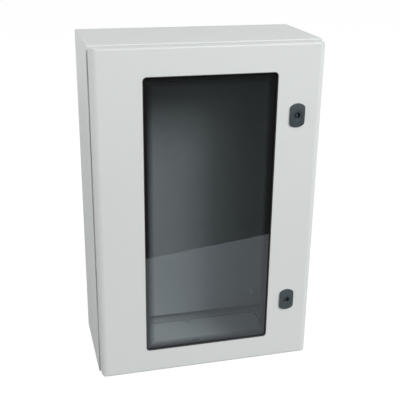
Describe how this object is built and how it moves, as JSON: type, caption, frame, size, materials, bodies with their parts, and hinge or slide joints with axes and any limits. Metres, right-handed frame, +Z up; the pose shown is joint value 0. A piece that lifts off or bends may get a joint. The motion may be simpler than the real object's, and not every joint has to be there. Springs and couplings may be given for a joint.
{
  "type": "electrical enclosure",
  "caption": "Wall-mounting sheet-steel enclosure with a smoked-glass hinged door, quarter-turn locks, concealed hinges, mounting plate and gland plate.",
  "frame": {"origin": "on the ground plane under the middle of the enclosure's overall box", "axes": "+X to the right seen from the front, +Y from the door towards the wall, +Z up"},
  "size_m": [0.4, 0.2036, 0.6],
  "materials": {
    "body_paint": "light grey powder coat, fine texture",
    "door_paint": "light grey powder coat, fine texture",
    "galvanised_sheet": "galvanised, dull spangle",
    "zinc_fasteners": "bright zinc plated",
    "hinge_casting": "zinc plated steel",
    "earth_brass": "plain brass",
    "lock_casting": "dark grey satin coating on a die casting",
    "black_rubber": "matt black moulded rubber",
    "foam_seal": "matt foamed polyurethane",
    "smoked_glass": "polished grey-tinted safety glass"
  },
  "bodies": {
    "cabinet": {"body_shell": "body_paint", "gland_plate": "body_paint", "gland_plate_seal": "black_rubber", "gland_plate_screws": "zinc_fasteners", "mounting_plate": "galvanised_sheet", "plate_studs": "zinc_fasteners", "plate_spacers": "zinc_fasteners", "plate_washers": "zinc_fasteners", "plate_nuts": "zinc_fasteners", "body_earth_stud": "earth_brass", "body_earth_nuts": "earth_brass", "upper_hinge_base": "hinge_casting", "upper_hinge_pin": "zinc_fasteners", "lower_hinge_base": "hinge_casting", "lower_hinge_pin": "zinc_fasteners", "hinge_screws": "zinc_fasteners", "hinge_screw_nuts": "zinc_fasteners"},
    "door": {"door_panel": "door_paint", "door_seal": "foam_seal", "window_seal": "black_rubber", "window_pane": "smoked_glass", "retainer_left": "galvanised_sheet", "retainer_right": "galvanised_sheet", "retainer_top": "galvanised_sheet", "retainer_bottom": "galvanised_sheet", "retainer_studs": "zinc_fasteners", "retainer_nuts": "zinc_fasteners", "door_earth_stud": "earth_brass", "door_earth_nuts": "earth_brass", "upper_lock_housing": "lock_casting", "upper_lock_seal": "black_rubber", "upper_lock_nut": "zinc_fasteners", "lower_lock_housing": "lock_casting", "lower_lock_seal": "black_rubber", "lower_lock_nut": "zinc_fasteners", "upper_hinge_leaf": "hinge_casting", "lower_hinge_leaf": "hinge_casting", "hinge_leaf_studs": "zinc_fasteners", "hinge_leaf_nuts": "zinc_fasteners"},
    "upper_lock": {"upper_lock_barrel": "lock_casting", "upper_lock_cam": "zinc_fasteners", "upper_lock_screw": "zinc_fasteners"},
    "lower_lock": {"lower_lock_barrel": "lock_casting", "lower_lock_cam": "zinc_fasteners", "lower_lock_screw": "zinc_fasteners"}
  },
  "joints": [
    {"name": "door_hinge", "type": "hinge", "parent": "cabinet", "child": "door", "pos_m": [-0.189, -0.08625, 0.3], "axis": [0, 0, -1], "range_deg": [0, 120]},
    {"name": "upper_lock_turn", "type": "hinge", "parent": "door", "child": "upper_lock", "pos_m": [0.1515, -0.08625, 0.4755], "axis": [0, -1, 0], "range_deg": [0, 90]},
    {"name": "lower_lock_turn", "type": "hinge", "parent": "door", "child": "lower_lock", "pos_m": [0.1515, -0.08625, 0.1215], "axis": [0, -1, 0], "range_deg": [0, 90]}
  ]
}
